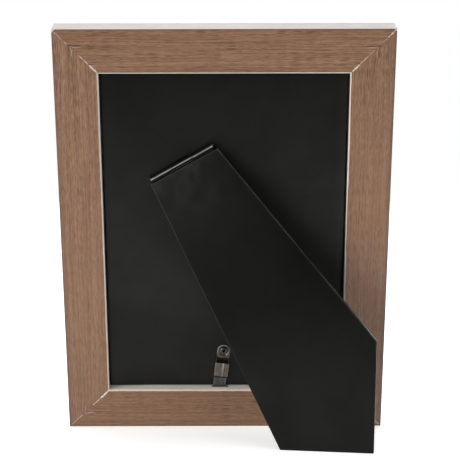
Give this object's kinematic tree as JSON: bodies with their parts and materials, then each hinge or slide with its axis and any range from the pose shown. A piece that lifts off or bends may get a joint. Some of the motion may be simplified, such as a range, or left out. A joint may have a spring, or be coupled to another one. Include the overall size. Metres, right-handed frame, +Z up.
{
  "type": "picture frame",
  "caption": "Table-top picture frame with a mitred wooden moulding, recessed black back board, sliding back latch and an oblique hinged easel leg.",
  "frame": {"origin": "on the table, under the middle of the whole object's bounding box, with the frame standing open on its leg", "axes": "+Z up; the front of the frame faces -Y and leans back 15 degrees; the easel leg is on the +Y side; +X is to the left seen from behind"},
  "size_m": [0.175, 0.0734, 0.2229],
  "materials": {
    "frame_wood": "matt natural wood on the back, white paint on the sides, front and inner edges",
    "nail_steel": "dull dark oxide",
    "clear_glass": "polished",
    "blank_paper": "matt",
    "grey_card": "matt",
    "black_board": "matt black paint",
    "black_leg": "satin black paint",
    "hinge_steel": "dark plated, semi-gloss",
    "plain_steel": "zinc plated",
    "latch_steel": "dark nickel, semi-gloss"
  },
  "bodies": {
    "frame": {"rail_top": "frame_wood", "rail_bottom": "frame_wood", "rail_left": "frame_wood", "rail_right": "frame_wood", "corner_v_nails": "nail_steel", "glass_pane": "clear_glass", "photo_sheet": "blank_paper", "filler_card": "grey_card", "back_board": "black_board", "board_tabs": "plain_steel", "hinge_board_leaf": "hinge_steel", "hinge_rivets": "plain_steel", "hinge_pin": "hinge_steel", "latch_rivet": "latch_steel"},
    "leg": {"hinge_leg_leaf": "hinge_steel", "leg_board": "black_leg"},
    "latch": {"latch_base": "latch_steel"},
    "slider": {"latch_slider": "latch_steel"}
  },
  "joints": [
    {"name": "leg_hinge", "type": "hinge", "parent": "frame", "child": "leg", "pos_m": [0.02258, 0.01403, 0.15067], "axis": [-0.8678, 0.1286, 0.48], "range_deg": [0, 17]},
    {"name": "latch_swivel", "type": "hinge", "parent": "frame", "child": "latch", "pos_m": [0.0006, -0.01578, 0.04481], "axis": [0, 0.9659, -0.2588], "range_deg": [0, 3]},
    {"name": "latch_slide", "type": "slide", "parent": "latch", "child": "slider", "axis": [-0.1271, 0.2567, 0.9581], "range_m": [0, 0.0027]}
  ]
}
